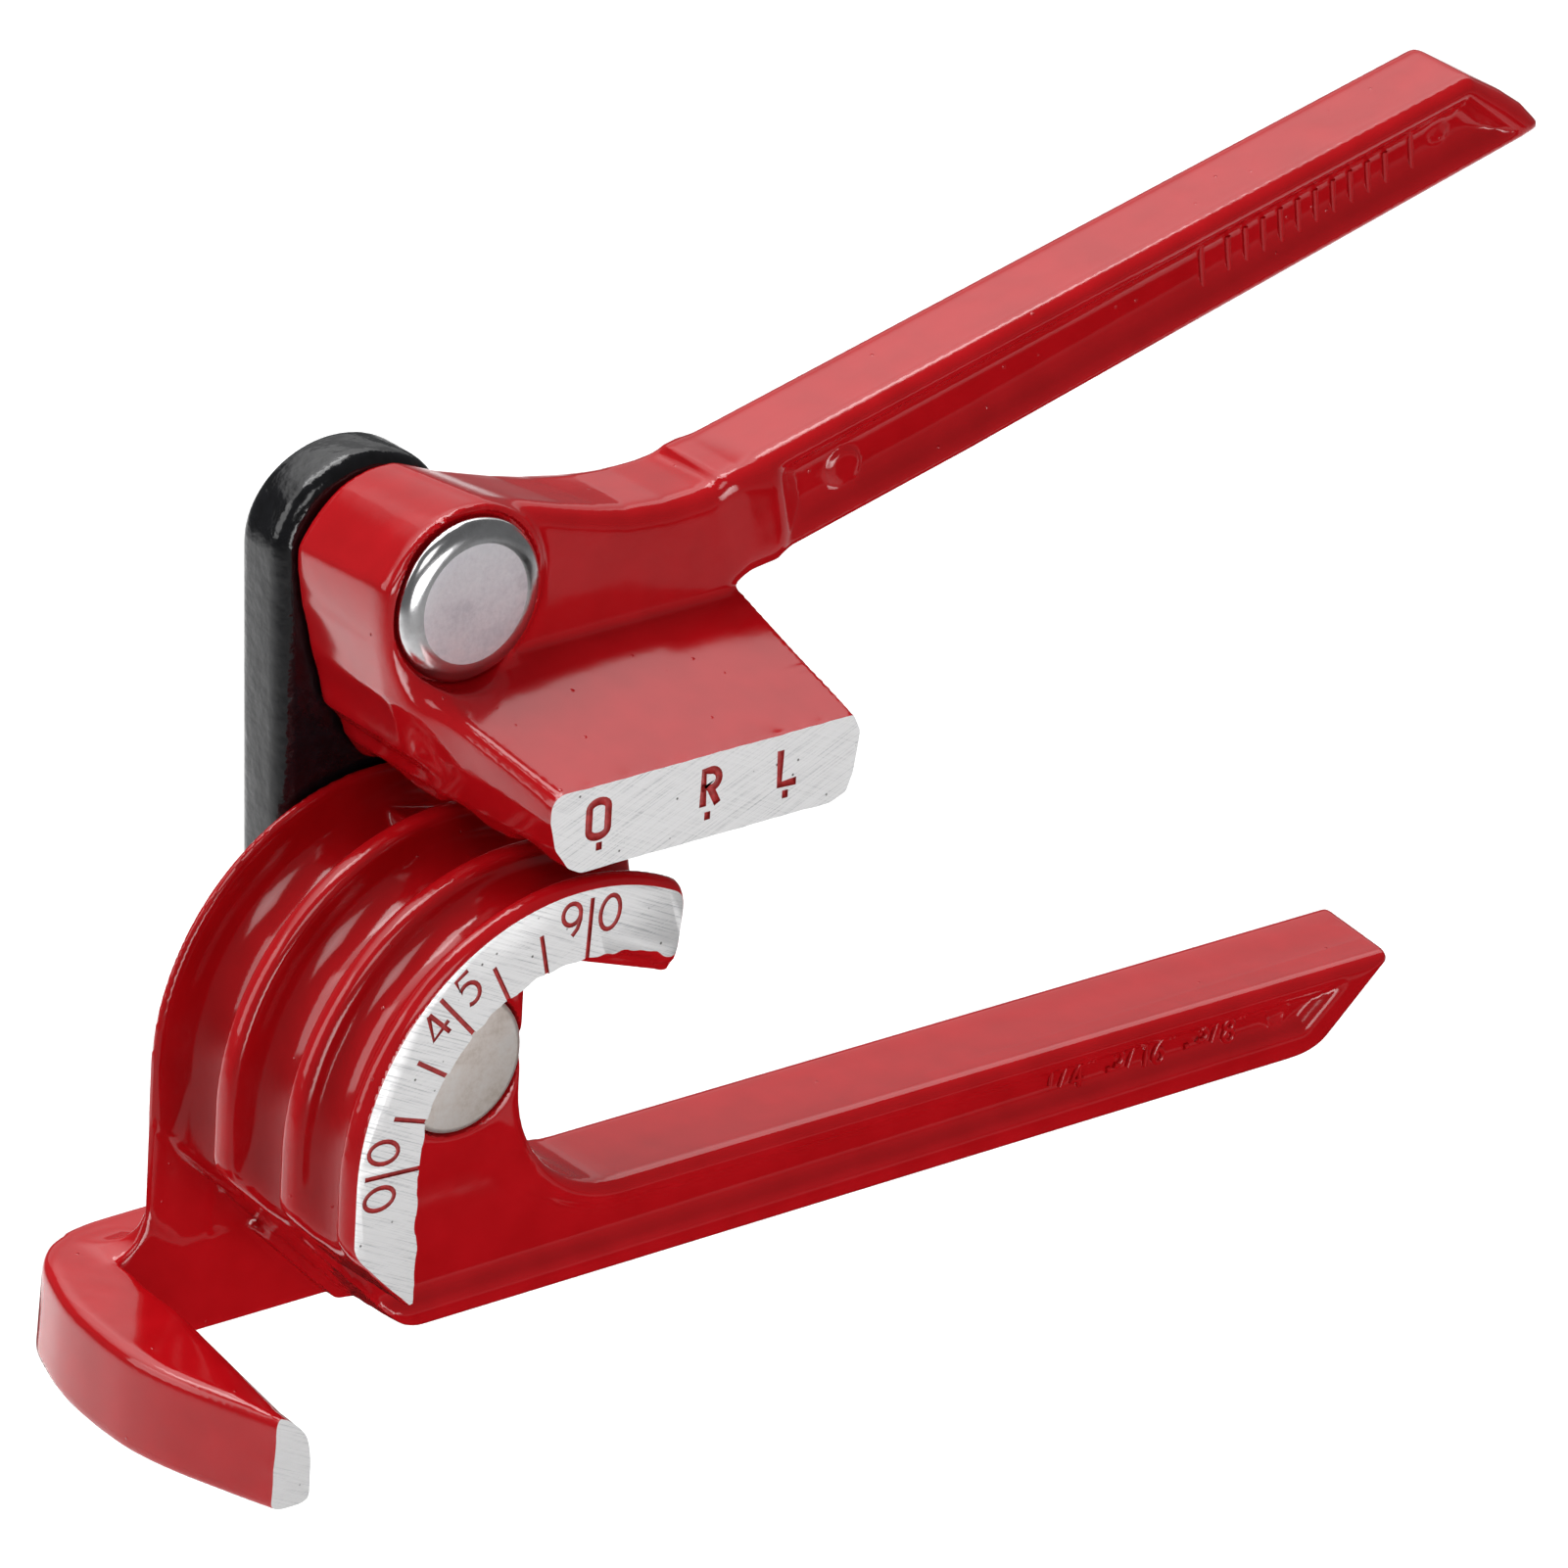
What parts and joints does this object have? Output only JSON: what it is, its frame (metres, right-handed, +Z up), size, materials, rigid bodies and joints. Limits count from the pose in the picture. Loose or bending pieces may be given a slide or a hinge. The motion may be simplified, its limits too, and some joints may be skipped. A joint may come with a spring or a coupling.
{
  "type": "tube bender",
  "caption": "Hand tube bender: a grooved half-round former with handle and hook, and a grooved shoe with handle on a swinging link.",
  "frame": {"origin": "centre of the lower rivet's flush head, in its front face, on the former's axis", "axes": "+X along the lower handle towards its tip, +Y from the scale face back along the pivots, +Z up from the lower pivot towards the upper one"},
  "size_m": [0.1706, 0.0426, 0.1086],
  "materials": {
    "red_enamel": "glossy enamel over a casting, bare ground aluminium on the scale face, shoe face and hook tip",
    "black_paint": "satin",
    "bright_steel": "polished rim, dull flat centre",
    "dull_steel": "dull, slightly stained"
  },
  "bodies": {
    "fixed_casting": {"former_and_lower_handle": "red_enamel", "lower_pivot_rivet": "dull_steel"},
    "link": {"link_plate": "black_paint", "upper_pivot_rivet": "bright_steel"},
    "lever": {"shoe_and_upper_handle": "red_enamel"}
  },
  "joints": [
    {"name": "link_swing", "type": "hinge", "parent": "fixed_casting", "child": "link", "pos_m": [0, 0, 0], "axis": [0, 1, 0], "range_deg": [-98, 30]},
    {"name": "handle_pivot", "type": "hinge", "parent": "link", "child": "lever", "pos_m": [-0.00233, 0, 0.04995], "axis": [0, 1, 0], "range_deg": [-180, 8]}
  ]
}
